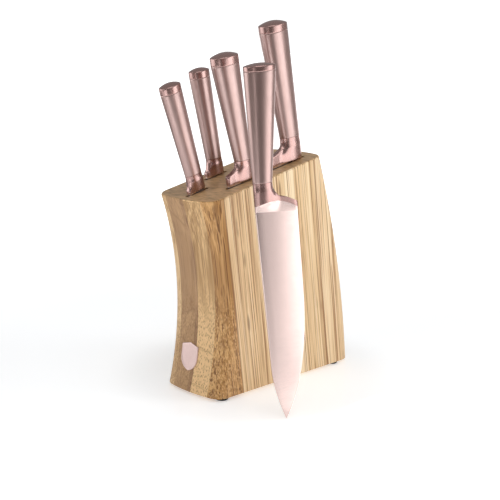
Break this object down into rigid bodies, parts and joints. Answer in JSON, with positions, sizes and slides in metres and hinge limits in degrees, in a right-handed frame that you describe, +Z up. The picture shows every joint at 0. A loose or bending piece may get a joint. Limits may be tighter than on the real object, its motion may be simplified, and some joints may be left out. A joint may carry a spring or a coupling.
{
  "type": "knife block with knives",
  "caption": "Laminated wood knife block with a hollow front end, sloping slotted top and rubber feet, holding coated steel knives that lift out; the chef's knife stands in front.",
  "frame": {"origin": "centre of the wood block's underside; the rubber feet reach 3 mm below it", "axes": "+X toward the higher rear end of the block, +Y toward the far long face, away from the knife on display, +Z up"},
  "size_m": [0.2247, 0.1562, 0.3568],
  "materials": {
    "brown_wood": "oiled, end grain",
    "pale_wood": "oiled",
    "tan_wood": "oiled",
    "core_wood": "oiled",
    "strip_wood": "oiled",
    "foot_rubber": "matt",
    "screw_steel": "zinc plated",
    "badge_metal": "rose coated, matt",
    "coated_blade": "rose coated, satin",
    "polished_bolster": "rose coated, polished",
    "satin_handle": "rose coated, satin",
    "polished_cap": "rose coated, polished"
  },
  "bodies": {
    "block": {"near_front_stave": "brown_wood", "near_face_board": "pale_wood", "near_rear_stave": "tan_wood", "near_core_board": "core_wood", "far_core_board": "core_wood", "far_outer_board": "tan_wood", "near_strip_front": "strip_wood", "near_strip_middle": "strip_wood", "near_strip_rear": "strip_wood", "near_strip_base": "strip_wood", "centre_strip_front": "strip_wood", "centre_strip_rear": "strip_wood", "centre_strip_base": "strip_wood", "far_strip_front": "strip_wood", "far_strip_middle": "strip_wood", "far_strip_rear": "strip_wood", "far_strip_base": "strip_wood", "rubber_feet": "foot_rubber", "foot_screws": "screw_steel", "badge": "badge_metal"},
    "paring_knife": {"paring_blade": "coated_blade", "paring_bolster": "polished_bolster", "paring_handle": "satin_handle", "paring_cap": "polished_cap"},
    "utility_knife": {"utility_blade": "coated_blade", "utility_bolster": "polished_bolster", "utility_handle": "satin_handle", "utility_cap": "polished_cap"},
    "slicer_knife": {"slicer_blade": "coated_blade", "slicer_bolster": "polished_bolster", "slicer_handle": "satin_handle", "slicer_cap": "polished_cap"},
    "santoku_knife": {"santoku_blade": "coated_blade", "santoku_bolster": "polished_bolster", "santoku_handle": "satin_handle", "santoku_cap": "polished_cap"},
    "chef_knife": {"chef_blade": "coated_blade", "chef_bolster": "polished_bolster", "chef_handle": "satin_handle", "chef_cap": "polished_cap"}
  },
  "joints": [
    {"name": "paring_knife_lift", "type": "slide", "parent": "block", "child": "paring_knife", "axis": [-0.284, 0, 0.9588], "range_m": [0, 0.1]},
    {"name": "utility_knife_lift", "type": "slide", "parent": "block", "child": "utility_knife", "axis": [-0.1822, 0, 0.9833], "range_m": [0, 0.14]},
    {"name": "slicer_knife_lift", "type": "slide", "parent": "block", "child": "slicer_knife", "axis": [-0.1822, 0, 0.9833], "range_m": [0, 0.195]},
    {"name": "santoku_knife_lift", "type": "slide", "parent": "block", "child": "santoku_knife", "axis": [-0.1822, 0, 0.9833], "range_m": [0, 0.185]},
    {"name": "chef_knife_lift", "type": "slide", "parent": "block", "child": "chef_knife", "axis": [0, 0, 1], "range_m": [0, 0.15]}
  ]
}
